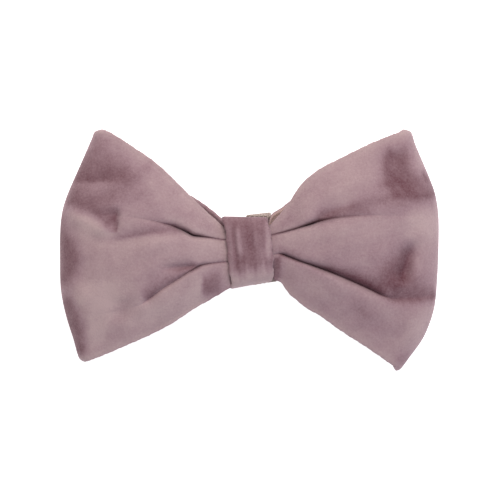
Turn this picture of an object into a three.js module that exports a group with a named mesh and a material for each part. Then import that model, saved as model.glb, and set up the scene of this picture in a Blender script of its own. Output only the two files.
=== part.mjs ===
// A pet's velvet bow tie, lying on its back: one folded band makes both wings, a wrap gathers it into
// a knot, and an elastic collar loop is sewn behind the knot.
// Millimetres. +X is to the right as seen from the front, +Y is up the bow, +Z is out of its front.
// The origin is under the middle of the bow, on the surface that it lies on.
import * as THREE from "three";
import { LoftGeometry } from "three/addons/geometries/LoftGeometry.js";
import { mergeVertices } from "three/addons/utils/BufferGeometryUtils.js";

// Driving dimensions
const BAND_WALL = 2.0; // two plies of velvet, turned right side out
const WRAP_WALL = 1.6;
const ELASTIC_WALL = 1.0;
const ELASTIC_WIDTH = 8.0;
const SEWN_GAP = 0.35; // between the elastic and the wrap that it is sewn to
const FOLD_REACH = 7.5; // how far the round outer fold of a wing reaches in from its edge
const CORNER_REACH = 0.35; // the share of that reach that is left at a wing's corners
const FOLD_MIDDLE = 7.2; // height of the outer fold's middle

// How finely the cloth is divided. The places are shares of a panel's length, closest at the knot.
const FRONT_PLACES = [
  0, 0.06, 0.105, 0.12, 0.13, 0.15, 0.17, 0.185, 0.21, 0.245, 0.28, 0.34, 0.4, 0.47, 0.55, 0.63, 0.72, 0.81,
  0.9, 0.96, 1,
];
const BACK_PLACES = [0, 0.06, 0.11, 0.14, 0.17, 0.2, 0.24, 0.3, 0.4, 0.5, 0.62, 0.75, 0.88, 1];
const FOLD_STEPS = 6;
const LOBE_STEPS = 9; // across each of the three lobes of a wing
const WRAP_STEPS = 40;
const WRAP_COLUMNS = 8;
const ELASTIC_BEND_STEPS = 6;

// Each wing is read at shares of its length, from the knot's middle to the outer fold.
// bottom and top are the hems; low and high are the two deep creases between the lobes.
// backBottom and backTop are the hems of the back panel.
const LEFT_OUTLINE = [
  { share: 0.0, bottom: -8.6, low: -3.3, high: 2.6, top: 7.0, backBottom: -8.4, backTop: 7.0 },
  { share: 0.1, bottom: -9.3, low: -3.6, high: 2.8, top: 6.6, backBottom: -8.6, backTop: 6.6 },
  { share: 0.113, bottom: -10.6, low: -3.7, high: 2.9, top: 6.4, backBottom: -9.2, backTop: 6.6 },
  { share: 0.124, bottom: -12.2, low: -3.9, high: 3.0, top: 6.3, backBottom: -9.8, backTop: 6.8 },
  { share: 0.15, bottom: -13.2, low: -4.0, high: 3.1, top: 6.5, backBottom: -11.5, backTop: 7.0 },
  { share: 0.165, bottom: -13.7, low: -4.1, high: 3.3, top: 6.9, backBottom: -12.4, backTop: 7.6 },
  { share: 0.18, bottom: -14.2, low: -4.2, high: 3.4, top: 7.6, backBottom: -13.0, backTop: 9.0 },
  { share: 0.195, bottom: -14.7, low: -4.3, high: 3.6, top: 8.3, backBottom: -13.5, backTop: 10.2 },
  { share: 0.22, bottom: -15.4, low: -4.5, high: 3.8, top: 9.3, backBottom: -14.1, backTop: 11.4 },
  { share: 0.26, bottom: -16.7, low: -5.0, high: 4.1, top: 11.0, backBottom: -15.2, backTop: 13.0 },
  { share: 0.3, bottom: -17.8, low: -6.2, high: 4.5, top: 12.8, backBottom: -16.3, backTop: 14.4 },
  { share: 0.34, bottom: -19.1, low: -7.6, high: 5.7, top: 14.6, backBottom: -17.6, backTop: 15.7 },
  { share: 0.4, bottom: -21.3, low: -9.7, high: 7.2, top: 17.4, backBottom: -19.6, backTop: 17.4 },
  { share: 0.46, bottom: -23.4, low: -11.7, high: 8.2, top: 20.3, backBottom: -21.6, backTop: 19.0 },
  { share: 0.6, bottom: -27.2, low: -17.4, high: 9.9, top: 26.7, backBottom: -25.4, backTop: 25.2 },
  { share: 0.75, bottom: -30.7, low: -19.8, high: 10.8, top: 31.8, backBottom: -29.0, backTop: 30.4 },
  { share: 0.93, bottom: -34.7, low: -21.6, high: 11.7, top: 37.2, backBottom: -33.6, backTop: 36.6 },
  { share: 1.0, bottom: -35.6, low: -22.0, high: 12.0, top: 38.1, backBottom: -35.6, backTop: 38.1 },
];
const RIGHT_OUTLINE = [
  { share: 0.0, bottom: -8.6, low: -3.3, high: 2.6, top: 7.0, backBottom: -8.4, backTop: 7.0 },
  { share: 0.1, bottom: -8.0, low: -2.4, high: 4.2, top: 7.0, backBottom: -7.9, backTop: 7.0 },
  { share: 0.13, bottom: -7.8, low: -1.6, high: 4.7, top: 7.8, backBottom: -7.6, backTop: 8.6 },
  { share: 0.16, bottom: -7.8, low: -1.4, high: 5.1, top: 9.3, backBottom: -7.6, backTop: 11.7 },
  { share: 0.176, bottom: -9.8, low: -1.6, high: 5.4, top: 10.3, backBottom: -8.8, backTop: 12.5 },
  { share: 0.205, bottom: -10.3, low: -2.2, high: 5.8, top: 11.9, backBottom: -9.6, backTop: 13.3 },
  { share: 0.235, bottom: -12.2, low: -2.9, high: 6.3, top: 13.8, backBottom: -10.9, backTop: 14.5 },
  { share: 0.265, bottom: -14.1, low: -3.6, high: 6.9, top: 16.0, backBottom: -12.4, backTop: 15.8 },
  { share: 0.32, bottom: -16.3, low: -4.7, high: 7.9, top: 20.2, backBottom: -14.8, backTop: 19.0 },
  { share: 0.38, bottom: -18.6, low: -6.0, high: 9.0, top: 23.1, backBottom: -17.0, backTop: 21.8 },
  { share: 0.46, bottom: -20.7, low: -7.6, high: 9.9, top: 25.9, backBottom: -19.0, backTop: 24.8 },
  { share: 0.6, bottom: -25.5, low: -11.2, high: 10.6, top: 29.4, backBottom: -23.8, backTop: 28.6 },
  { share: 0.75, bottom: -30.1, low: -15.0, high: 10.5, top: 33.1, backBottom: -28.4, backTop: 32.2 },
  { share: 0.88, bottom: -34.3, low: -15.4, high: 10.5, top: 35.8, backBottom: -33.0, backTop: 35.2 },
  { share: 1.0, bottom: -38.2, low: -14.2, high: 10.5, top: 38.1, backBottom: -38.2, backTop: 38.1 },
];

// crown is the height of the front panel's middle, droop how far its hems lie below that, and back the
// height of the back panel.
const PANELS = [
  { share: 0.0, crown: 19.9, droop: 3.0, back: 8.7 },
  { share: 0.12, crown: 19.9, droop: 3.0, back: 8.5 },
  { share: 0.2, crown: 21.0, droop: 4.5, back: 6.5 },
  { share: 0.32, crown: 23.0, droop: 6.5, back: 2.6 },
  { share: 0.46, crown: 24.2, droop: 8.5, back: 0.2 },
  { share: 0.6, crown: 23.4, droop: 8.5, back: -0.8 },
  { share: 0.75, crown: 21.0, droop: 7.0, back: -0.8 },
  { share: 0.88, crown: 18.0, droop: 5.0, back: -0.6 },
  { share: 1.0, crown: 15.0, droop: 3.8, back: -0.2 },
];

// The depths of the two deep creases in the front panel.
const LEFT_CREASES = [
  { share: 0.0, lowDepth: 0.4, highDepth: 0.5 },
  { share: 0.12, lowDepth: 0.4, highDepth: 0.5 },
  { share: 0.17, lowDepth: 0.6, highDepth: 0.6 },
  { share: 0.2, lowDepth: 0.9, highDepth: 0.9 },
  { share: 0.24, lowDepth: 1.5, highDepth: 2.2 },
  { share: 0.28, lowDepth: 1.8, highDepth: 4.4 },
  { share: 0.32, lowDepth: 1.5, highDepth: 5.4 },
  { share: 0.36, lowDepth: 1.5, highDepth: 5.2 },
  { share: 0.42, lowDepth: 1.6, highDepth: 3.8 },
  { share: 0.47, lowDepth: 1.7, highDepth: 1.9 },
  { share: 0.54, lowDepth: 1.8, highDepth: 0.8 },
  { share: 0.59, lowDepth: 0.4, highDepth: 0.5 },
  { share: 0.75, lowDepth: 0.2, highDepth: 0.2 },
  { share: 1.0, lowDepth: 0.0, highDepth: 0.0 },
];
const RIGHT_CREASES = [
  { share: 0.0, lowDepth: 0.4, highDepth: 0.5 },
  { share: 0.12, lowDepth: 0.3, highDepth: 0.5 },
  { share: 0.16, lowDepth: 0.9, highDepth: 0.8 },
  { share: 0.19, lowDepth: 2.4, highDepth: 1.1 },
  { share: 0.24, lowDepth: 2.2, highDepth: 1.6 },
  { share: 0.28, lowDepth: 2.6, highDepth: 2.8 },
  { share: 0.31, lowDepth: 3.2, highDepth: 4.6 },
  { share: 0.35, lowDepth: 3.6, highDepth: 4.0 },
  { share: 0.4, lowDepth: 4.0, highDepth: 2.8 },
  { share: 0.46, lowDepth: 4.3, highDepth: 2.0 },
  { share: 0.6, lowDepth: 4.3, highDepth: 1.4 },
  { share: 0.68, lowDepth: 3.6, highDepth: 1.0 },
  { share: 0.73, lowDepth: 1.8, highDepth: 0.6 },
  { share: 0.8, lowDepth: 0.6, highDepth: 0.4 },
  { share: 1.0, lowDepth: 0.1, highDepth: 0.1 },
];

// A crease is pinched tight at the knot. Further out it opens, steep below its line and in a softer roll
// above it.
const CREASE_BELOW = { pinched: 0.4, opened: 1.4 };
const CREASE_ABOVE = { pinched: 0.45, opened: 4.05 };
const CREASE_OPENS = { from: 0.28, to: 0.6 };
const BACK_CREASE_DEPTH = 2.0;
const BACK_CREASE_END = 0.45; // share of the wing's length where the back panel's creases run out
const BACK_HEM_LIFT = 3.2; // how far the back panel's hems stand off the surface

// Soft dents in the front panel. out is the distance from the bow's middle, turn the angle of the long
// axis from +X, both on the right wing's side; long and wide are the distances over which a dent fades.
const LEFT_DENTS = [
  { out: 42.8, y: 9.0, depth: 1.8, long: 5.5, wide: 3.0, turn: 95 },
  { out: 47.0, y: 22.4, depth: 1.4, long: 10.0, wide: 3.4, turn: 175 },
];
const RIGHT_DENTS = [
  { out: 49.6, y: -3.8, depth: 2.6, long: 8.0, wide: 3.4, turn: 73 },
  { out: 47.4, y: 24.5, depth: 1.6, long: 8.5, wide: 4.2, turn: 100 },
];

// How far out the edge of a wing is, at shares of the way up from its bottom corner to its top corner.
const LEFT_EDGE = [
  { up: 0.0, reach: 53.0 },
  { up: 0.02, reach: 54.1 },
  { up: 0.1, reach: 55.8 },
  { up: 0.2, reach: 58.1 },
  { up: 0.31, reach: 59.7 },
  { up: 0.45, reach: 60.0 },
  { up: 0.57, reach: 59.9 },
  { up: 0.65, reach: 59.2 },
  { up: 0.72, reach: 57.6 },
  { up: 0.86, reach: 53.1 },
  { up: 0.96, reach: 49.9 },
  { up: 0.99, reach: 49.0 },
  { up: 1.0, reach: 47.6 },
];
const RIGHT_EDGE = [
  { up: 0.0, reach: 47.6 },
  { up: 0.05, reach: 50.4 },
  { up: 0.13, reach: 54.8 },
  { up: 0.2, reach: 57.2 },
  { up: 0.27, reach: 58.7 },
  { up: 0.36, reach: 59.4 },
  { up: 0.5, reach: 59.9 },
  { up: 0.64, reach: 59.9 },
  { up: 0.73, reach: 58.9 },
  { up: 0.8, reach: 57.0 },
  { up: 0.94, reach: 52.5 },
  { up: 0.99, reach: 51.2 },
  { up: 1.0, reach: 49.8 },
];

// The knot's wrap, a ring around the gathers, seen in its own frame. Its height tapers by a share for each
// millimetre to the right, and its front's side edges fall off by its crown.
const WRAP = {
  x: -0.2,
  y: -0.45,
  z: 14.3,
  tilt: 5,
  halfHeight: 10.8,
  halfDepth: 8.2,
  squareness: 3,
  taper: 0.0095,
  crown: 0.5,
  backHalfWidth: 6.8,
  sideBlend: 0.3,
};
// The front's side edges, at shares of the half height.
const WRAP_SIDES = [
  { height: -1.0, left: -6.2, right: 7.0 },
  { height: -0.5, left: -6.65, right: 7.3 },
  { height: -0.3, left: -6.7, right: 7.6 },
  { height: 0.15, left: -6.7, right: 7.45 },
  { height: 0.5, left: -6.7, right: 7.4 },
  { height: 0.8, left: -6.9, right: 7.0 },
  { height: 1.0, left: -7.9, right: 6.7 },
];
const WRAP_TUCKS = [
  { at: -2.6, height: 0.35, width: 1.2 },
  { at: 6.2, height: 0.2, width: 1.2 },
];

// The collar loop: two short legs sewn at the wrap's top and bottom, and a flat run behind. slant is how far
// it rises for each millimetre to the right. A leg's sewn end and its foot are tucked in behind the wrap.
const LOOP = {
  x: 4.1,
  runHeight: 0.3,
  bendRadius: 5.0,
  legEnd: 8.4,
  topEndTuck: 1.4,
  topTuck: 0.6,
  bottomEndTuck: 1.6,
  bottomTuck: 1.6,
  slant: 0.02,
};

const VELVET = new THREE.MeshStandardMaterial({ color: 0xa8898d, roughness: 0.95, metalness: 0 });
const ELASTIC = new THREE.MeshStandardMaterial({ color: 0xb3a595, roughness: 0.85, metalness: 0 });

const panels = columnReader(PANELS);
const wrapSides = columnReader(WRAP_SIDES);
const LEFT_WING = {
  side: -1,
  outline: columnReader(LEFT_OUTLINE),
  creases: columnReader(LEFT_CREASES),
  dents: LEFT_DENTS,
  edge: columnReader(LEFT_EDGE),
};
const RIGHT_WING = {
  side: 1,
  outline: columnReader(RIGHT_OUTLINE),
  creases: columnReader(RIGHT_CREASES),
  dents: RIGHT_DENTS,
  edge: columnReader(RIGHT_EDGE),
};

// Reads a table's other columns at any value of its first, along a smooth curve through its rows.
function columnReader(rows) {
  const [first, ...names] = Object.keys(rows[0]);
  const places = rows.map((row) => row[first]);
  const values = rows.flatMap((row) => names.map((name) => row[name]));
  const curve = new THREE.CubicInterpolant(places, values, names.length);
  return (place) => {
    const found = curve.evaluate(place);
    return Object.fromEntries(names.map((name, i) => [name, found[i]]));
  };
}

// The share of a crease's depth at a distance above (or, if negative, below) its line.
function creasePull(distance, share) {
  const flank = distance < 0 ? CREASE_BELOW : CREASE_ABOVE;
  const open = THREE.MathUtils.smoothstep(share, CREASE_OPENS.from, CREASE_OPENS.to);
  return Math.exp(-Math.abs(distance) / THREE.MathUtils.lerp(flank.pinched, flank.opened, open));
}

function dentPull(dent, out, y) {
  const turn = THREE.MathUtils.degToRad(dent.turn);
  const along = ((out - dent.out) * Math.cos(turn) + (y - dent.y) * Math.sin(turn)) / dent.long;
  const across = ((y - dent.y) * Math.cos(turn) - (out - dent.out) * Math.sin(turn)) / dent.wide;
  return dent.depth * Math.exp(-along * along - across * across);
}

// The height across a wing at a share of its length, between evenly divided hems and creases.
function acrossWing(heights, place) {
  const lobe = Math.min(Math.floor(place * (heights.length - 1)), heights.length - 2);
  return THREE.MathUtils.lerp(heights[lobe], heights[lobe + 1], place * (heights.length - 1) - lobe);
}

// How far out the wing's edge is at a height between its two corners, and how round its fold is there.
function outerEdge(wing, y) {
  const { bottom, top } = wing.outline(1);
  const up = THREE.MathUtils.clamp((y - bottom) / (top - bottom), 0, 1);
  const fold = FOLD_REACH * THREE.MathUtils.lerp(1, CORNER_REACH, Math.abs(2 * up - 1) ** 3);
  return { reach: wing.edge(up).reach, fold };
}

function frontHeight(wing, share, out, y) {
  const line = wing.outline(share);
  const { crown, droop } = panels(share);
  const { lowDepth, highDepth } = wing.creases(share);
  const fromMiddle = Math.abs((2 * (y - line.bottom)) / (line.top - line.bottom) - 1);
  const low = lowDepth * creasePull(y - line.low, share);
  const high = highDepth * creasePull(y - line.high, share);
  const dents = wing.dents.reduce((sum, dent) => sum + dentPull(dent, out, y), 0);
  return crown - droop * fromMiddle ** 2.6 - low - high - dents;
}

// The back panel rises from the surface to the knot and along its hems, and lies flat in between.
function backHeight(wing, share, y) {
  const line = wing.outline(share);
  const fromMiddle = Math.abs((2 * (y - line.backBottom)) / (line.backTop - line.backBottom) - 1);
  const fade = 1 - THREE.MathUtils.smoothstep(share, 0, BACK_CREASE_END);
  const pull = creasePull(y - line.low, share) + creasePull(y - line.high, share);
  const lift = BACK_HEM_LIFT * fromMiddle ** 3;
  return Math.max(0, panels(share).back + lift + BACK_CREASE_DEPTH * fade * pull);
}

// One point of the band's outer face and the one behind it on the inner face.
// angle runs from 0 on the front panel, through 90 at the outer fold, to 180 on the back panel.
function bandPoint(wing, progress, angle, place) {
  const end = wing.outline(1);
  const { reach, fold } = outerEdge(wing, acrossWing([end.bottom, end.low, end.high, end.top], place));
  const turn = THREE.MathUtils.degToRad(angle);
  const out = progress * (reach - fold) + fold * Math.sin(turn);
  const share = out / reach;
  const line = wing.outline(share);
  const onBack = angle > 90;
  const hems = onBack ? [line.backBottom, line.backTop] : [line.bottom, line.top];
  const y = acrossWing([hems[0], line.low, line.high, hems[1]], place);
  const height = onBack ? backHeight(wing, share, y) : frontHeight(wing, share, out, y);
  const fromFold = (height - FOLD_MIDDLE) * Math.abs(Math.cos(turn));
  const pointAt = (inset) =>
    new THREE.Vector3(
      wing.side * (out - inset * Math.sin(turn)),
      y,
      FOLD_MIDDLE + fromFold - inset * Math.cos(turn),
    );
  return { outer: pointAt(0), inner: pointAt(BAND_WALL) };
}

// The ring of points round the band's wall at one place along it.
function bandSection(wing, progress, angle) {
  const steps = 3 * LOBE_STEPS;
  const places = Array.from({ length: steps + 1 }, (_, i) => i / steps);
  const points = places.map((place) => bandPoint(wing, progress, angle, place));
  return [...points.map((p) => p.inner), ...points.map((p) => p.outer).reverse()];
}

// The sections of one wing, from the knot along the front, round the fold and home along the back.
function wingSections(wing) {
  const front = FRONT_PLACES.map((progress) => bandSection(wing, progress, 0));
  const back = BACK_PLACES.map((progress) => bandSection(wing, progress, 180));
  const fold = [];
  for (let i = 1; i < FOLD_STEPS; i++) fold.push(bandSection(wing, 1, (180 * i) / FOLD_STEPS));
  return [...front, ...fold, ...back.reverse()];
}

// Skins closed sections and welds the seams where the skin meets itself.
function skin(sections, options) {
  const loft = new LoftGeometry(sections, options);
  const solid = new THREE.BufferGeometry();
  solid.setAttribute("position", loft.getAttribute("position"));
  solid.setIndex(loft.getIndex());
  return mergeVertices(solid, 1e-3);
}

function bowBand() {
  const right = wingSections(RIGHT_WING);
  const left = wingSections(LEFT_WING).reverse();
  const sections = [...right, ...left.slice(1)];
  return new THREE.Mesh(skin(sections), VELVET);
}

// The wrap's ring at an angle from its top, counted towards the front, at a share of its width.
function wrapPoint(angle, across, inset) {
  const { halfHeight, halfDepth, squareness, taper, crown, backHalfWidth, sideBlend } = WRAP;
  const up = Math.cos(angle);
  const forward = Math.sin(angle);
  const radius = (Math.abs(up) ** squareness + Math.abs(forward) ** squareness) ** (-1 / squareness);
  const onFront = Math.max(0, forward);
  const toFront = THREE.MathUtils.smoothstep(forward, -sideBlend, sideBlend);
  const heightShare = radius * up;
  const sides = wrapSides(heightShare);
  const leftEdge = THREE.MathUtils.lerp(-backHalfWidth, sides.left, toFront);
  const rightEdge = THREE.MathUtils.lerp(backHalfWidth, sides.right, toFront);
  const x = THREE.MathUtils.lerp(leftEdge, rightEdge, across);
  const y = (halfHeight * (1 - taper * x) - inset) * heightShare;
  const tucks = WRAP_TUCKS.reduce(
    (sum, tuck) => sum + tuck.height * Math.exp(-(((x - tuck.at) / tuck.width) ** 2)),
    0,
  );
  const fall = crown * Math.abs(2 * across - 1) ** 4;
  const rise = inset > 0 ? 0 : (tucks - fall) * onFront;
  return new THREE.Vector3(x, y, (halfDepth - inset) * radius * forward + rise);
}

function knotWrap() {
  const shares = Array.from({ length: WRAP_COLUMNS + 1 }, (_, i) => i / WRAP_COLUMNS);
  const sections = [];
  for (let i = 0; i <= WRAP_STEPS; i++) {
    const angle = (2 * Math.PI * (i % WRAP_STEPS)) / WRAP_STEPS;
    const outer = shares.map((across) => wrapPoint(angle, across, 0));
    const inner = shares.map((across) => wrapPoint(angle, across, WRAP_WALL));
    sections.push([...inner, ...outer.reverse()]);
  }
  return new THREE.Mesh(skin(sections), VELVET);
}

// The middle line of the elastic seen from the side, from the wrap's top round behind it to its bottom.
function loopLine() {
  const sewnLine = WRAP.halfHeight + SEWN_GAP + ELASTIC_WALL / 2;
  const top = sewnLine - LOOP.topTuck;
  const bottom = LOOP.bottomTuck - sewnLine;
  const bendHeight = LOOP.runHeight + ELASTIC_WALL / 2 + LOOP.bendRadius;
  const bends = [
    { centre: new THREE.Vector2(top - LOOP.bendRadius, bendHeight), from: 0 },
    { centre: new THREE.Vector2(bottom + LOOP.bendRadius, bendHeight), from: Math.PI / 2 },
  ];
  const line = [new THREE.Vector2(sewnLine - LOOP.topEndTuck, LOOP.legEnd)];
  for (const bend of bends) {
    for (let i = 0; i <= ELASTIC_BEND_STEPS; i++) {
      const turn = bend.from + ((Math.PI / 2) * i) / ELASTIC_BEND_STEPS;
      const ray = new THREE.Vector2(Math.cos(turn), -Math.sin(turn));
      line.push(bend.centre.clone().addScaledVector(ray, LOOP.bendRadius));
    }
  }
  line.push(new THREE.Vector2(LOOP.bottomEndTuck - sewnLine, LOOP.legEnd));
  return line;
}

function collarLoop() {
  const line = loopLine();
  const sections = line.map((point, i) => {
    const before = line[Math.max(0, i - 1)];
    const after = line[Math.min(line.length - 1, i + 1)];
    const along = after.clone().sub(before).normalize();
    const across = new THREE.Vector2(-along.y, along.x).multiplyScalar(ELASTIC_WALL / 2);
    const halfWidth = ELASTIC_WIDTH / 2;
    const corners = [
      [-halfWidth, -1],
      [-halfWidth, 1],
      [halfWidth, 1],
      [halfWidth, -1],
    ];
    return corners.map(
      ([x, side]) =>
        new THREE.Vector3(x, point.x + LOOP.slant * x + side * across.x, point.y + side * across.y),
    );
  });
  return new THREE.Mesh(skin(sections, { capStart: true, capEnd: true }), ELASTIC);
}

const bow = new THREE.Group();

const band = bowBand();
band.name = "bow_band";
bow.add(band);

// The knot is turned a little on the bow, and the collar loop turns with it.
const knot = new THREE.Group();
knot.position.set(WRAP.x, WRAP.y, 0);
knot.rotation.z = THREE.MathUtils.degToRad(WRAP.tilt);
bow.add(knot);

const wrap = knotWrap();
wrap.name = "knot_wrap";
wrap.position.z = WRAP.z;
knot.add(wrap);

const loop = collarLoop();
loop.name = "collar_loop";
loop.position.x = LOOP.x;
knot.add(loop);

export default bow;
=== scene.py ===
"""A pet's velvet bow tie, lying on its back and seen from above.

One gathered velvet band makes both wings, a velvet wrap makes the knot, and a beige elastic loop is sewn
behind the knot. Tables are in millimetres and meshes in metres: +X runs along the wings, +Y up the bow
and +Z out of its front.
"""

import math

import bmesh
import bpy
import numpy as np
from bpy.props import FloatProperty, FloatVectorProperty, IntProperty, PointerProperty
from bpy.types import Operator, Panel, PropertyGroup
from mathutils import Matrix, Vector


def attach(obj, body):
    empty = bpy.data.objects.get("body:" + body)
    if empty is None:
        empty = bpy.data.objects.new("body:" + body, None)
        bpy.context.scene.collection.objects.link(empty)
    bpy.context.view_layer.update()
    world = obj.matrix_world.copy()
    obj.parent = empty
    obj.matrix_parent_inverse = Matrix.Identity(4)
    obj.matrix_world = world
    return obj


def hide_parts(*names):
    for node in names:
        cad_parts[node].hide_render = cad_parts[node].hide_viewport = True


bl_info = {
    "name": "Velvet pet bow tie",
    "version": (1, 0, 0),
    "blender": (4, 5, 0),
    "location": "View3D > Sidebar > Bow Tie",
    "description": "Makes a gathered velvet bow tie with a wrapped knot and an elastic collar loop",
    "category": "Add Mesh",
}

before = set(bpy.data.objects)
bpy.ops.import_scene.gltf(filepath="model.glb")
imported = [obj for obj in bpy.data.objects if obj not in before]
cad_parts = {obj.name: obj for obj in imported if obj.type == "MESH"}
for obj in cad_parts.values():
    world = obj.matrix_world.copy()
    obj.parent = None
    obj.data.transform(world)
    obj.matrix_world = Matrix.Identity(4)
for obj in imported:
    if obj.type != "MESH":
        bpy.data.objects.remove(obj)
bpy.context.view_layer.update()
MM = 0.001

# The wings' outlines, read at shares of a wing's length from the knot's middle to the outer fold.
# bottom and top are the hems, low and high the two deep creases between the lobes.
OUTLINE_COLUMNS = ("share", "bottom", "low", "high", "top", "back_bottom", "back_top")
LEFT_OUTLINE = (
    (0.000, -8.6, -3.3, 2.6, 7.0, -8.4, 7.0),
    (0.097, -9.2, -3.6, 2.8, 6.6, -8.6, 6.6),
    (0.108, -11.9, -3.7, 2.9, 6.4, -9.4, 6.6),
    (0.124, -12.4, -3.9, 3.0, 6.3, -10.4, 6.8),
    (0.150, -13.2, -4.0, 3.1, 6.5, -11.8, 7.6),
    (0.165, -13.7, -4.1, 3.3, 6.9, -12.4, 9.0),
    (0.180, -14.2, -4.2, 3.4, 7.6, -13.0, 9.8),
    (0.195, -14.7, -4.3, 3.6, 8.3, -13.5, 10.4),
    (0.220, -15.4, -4.5, 3.8, 9.3, -14.1, 11.4),
    (0.260, -16.7, -5.0, 4.1, 11.0, -15.2, 13.0),
    (0.300, -17.8, -6.2, 4.5, 12.8, -16.3, 14.4),
    (0.340, -19.1, -7.6, 5.7, 14.6, -17.6, 15.7),
    (0.400, -21.3, -9.9, 7.2, 17.4, -19.6, 17.4),
    (0.460, -23.4, -12.0, 8.2, 20.3, -21.6, 19.0),
    (0.600, -27.2, -17.6, 9.9, 26.7, -25.4, 25.2),
    (0.750, -30.7, -19.8, 10.8, 31.8, -29.0, 30.4),
    (0.930, -34.7, -21.6, 11.7, 37.2, -33.6, 36.6),
    (1.000, -35.6, -22.0, 12.0, 38.1, -35.6, 38.1),
)
RIGHT_OUTLINE = (
    (0.000, -8.6, -3.3, 2.6, 7.0, -8.4, 7.0),
    (0.100, -8.0, -2.4, 4.2, 7.0, -7.9, 7.0),
    (0.116, -8.0, -1.9, 4.5, 7.2, -7.9, 7.6),
    (0.131, -8.0, -1.6, 4.7, 7.8, -7.9, 10.5),
    (0.150, -8.1, -1.4, 5.0, 8.8, -8.0, 11.5),
    (0.160, -9.5, -1.4, 5.1, 9.3, -8.6, 11.9),
    (0.180, -9.8, -1.6, 5.4, 10.5, -9.0, 12.6),
    (0.205, -10.3, -2.2, 5.8, 11.9, -9.6, 13.3),
    (0.235, -12.2, -2.9, 6.3, 13.8, -10.9, 14.5),
    (0.265, -14.1, -3.6, 6.9, 16.0, -12.4, 15.8),
    (0.320, -16.3, -4.7, 7.9, 20.2, -14.8, 19.0),
    (0.380, -18.6, -6.0, 9.0, 23.1, -17.0, 21.8),
    (0.460, -20.7, -7.8, 9.9, 25.9, -19.0, 24.8),
    (0.600, -25.5, -11.4, 10.6, 29.4, -23.8, 28.6),
    (0.750, -30.1, -15.3, 10.5, 33.1, -28.4, 32.2),
    (0.880, -34.3, -15.4, 10.5, 35.8, -33.0, 35.2),
    (1.000, -38.4, -14.2, 10.5, 38.1, -38.4, 38.1),
)

# crown is the height of the front panel's middle, droop how far its hems lie below that, and back the height
# of the back panel.
PANEL_COLUMNS = ("share", "crown", "droop", "back")
PANELS = (
    (0.00, 19.9, 3.0, 8.7),
    (0.12, 19.9, 3.0, 8.5),
    (0.20, 21.0, 4.5, 6.5),
    (0.32, 23.0, 6.5, 2.6),
    (0.46, 24.2, 8.5, 0.2),
    (0.60, 23.4, 8.5, -0.8),
    (0.75, 21.0, 7.0, -0.8),
    (0.88, 18.0, 5.0, -0.6),
    (1.00, 15.0, 3.8, -0.2),
)
DROOP_POWER = 2.6

# The depths of the two deep creases, and how far painted shade darkens the pile in them.
CREASE_COLUMNS = ("share", "low_depth", "high_depth", "low_dark", "high_dark")
LEFT_CREASES = (
    (0.00, 0.4, 0.5, 0.0, 0.0),
    (0.12, 0.6, 0.7, 0.3, 0.4),
    (0.17, 0.8, 0.9, 0.3, 0.5),
    (0.20, 1.0, 1.2, 0.3, 0.6),
    (0.24, 1.5, 2.2, 0.3, 0.8),
    (0.28, 1.8, 4.4, 0.3, 1.0),
    (0.32, 1.5, 5.2, 0.15, 0.9),
    (0.36, 1.5, 3.6, 0.1, 0.25),
    (0.42, 1.6, 2.2, 0.1, 0.1),
    (0.47, 1.7, 1.6, 0.15, 0.1),
    (0.54, 1.8, 0.8, 0.25, 0.0),
    (0.59, 0.4, 0.5, 0.0, 0.0),
    (0.75, 0.2, 0.2, 0.0, 0.0),
    (1.00, 0.0, 0.0, 0.0, 0.0),
)
RIGHT_CREASES = (
    (0.00, 0.4, 0.5, 0.0, 0.0),
    (0.12, 0.4, 0.8, 0.0, 0.4),
    (0.16, 0.9, 1.2, 0.4, 0.5),
    (0.19, 2.4, 1.5, 0.8, 0.5),
    (0.24, 2.2, 1.9, 0.7, 0.5),
    (0.28, 2.6, 2.8, 0.7, 0.6),
    (0.31, 3.2, 4.6, 0.8, 0.9),
    (0.35, 3.5, 3.6, 0.8, 0.8),
    (0.40, 3.7, 2.5, 0.95, 0.6),
    (0.46, 3.9, 2.0, 0.95, 0.4),
    (0.60, 3.9, 1.1, 0.95, 0.2),
    (0.68, 3.3, 0.5, 0.95, 0.0),
    (0.73, 1.8, 0.3, 0.4, 0.0),
    (0.80, 0.6, 0.2, 0.0, 0.0),
    (1.00, 0.1, 0.1, 0.0, 0.0),
)

# How far out a wing's edge is, at shares of the way up from its bottom corner to its top corner.
EDGE_COLUMNS = ("up", "reach")
LEFT_EDGE = (
    (0.00, 53.0),
    (0.02, 54.1),
    (0.10, 55.8),
    (0.20, 58.1),
    (0.31, 59.7),
    (0.45, 60.0),
    (0.57, 59.9),
    (0.65, 59.2),
    (0.72, 57.6),
    (0.86, 53.1),
    (0.96, 49.9),
    (0.99, 49.0),
    (1.00, 47.6),
)
RIGHT_EDGE = (
    (0.00, 47.6),
    (0.05, 50.4),
    (0.13, 54.8),
    (0.20, 57.2),
    (0.27, 58.7),
    (0.36, 59.4),
    (0.50, 59.9),
    (0.64, 59.9),
    (0.73, 58.9),
    (0.80, 57.0),
    (0.94, 52.5),
    (0.99, 51.2),
    (1.00, 49.8),
)

# The round fold at a wing's outer end: its reach, the share of it that is left at the corners, and the height
# of its middle.
FOLD_REACH = 7.5
CORNER_REACH = 0.35
CORNER_POWER = 3
FOLD_MIDDLE = 7.2
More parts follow.
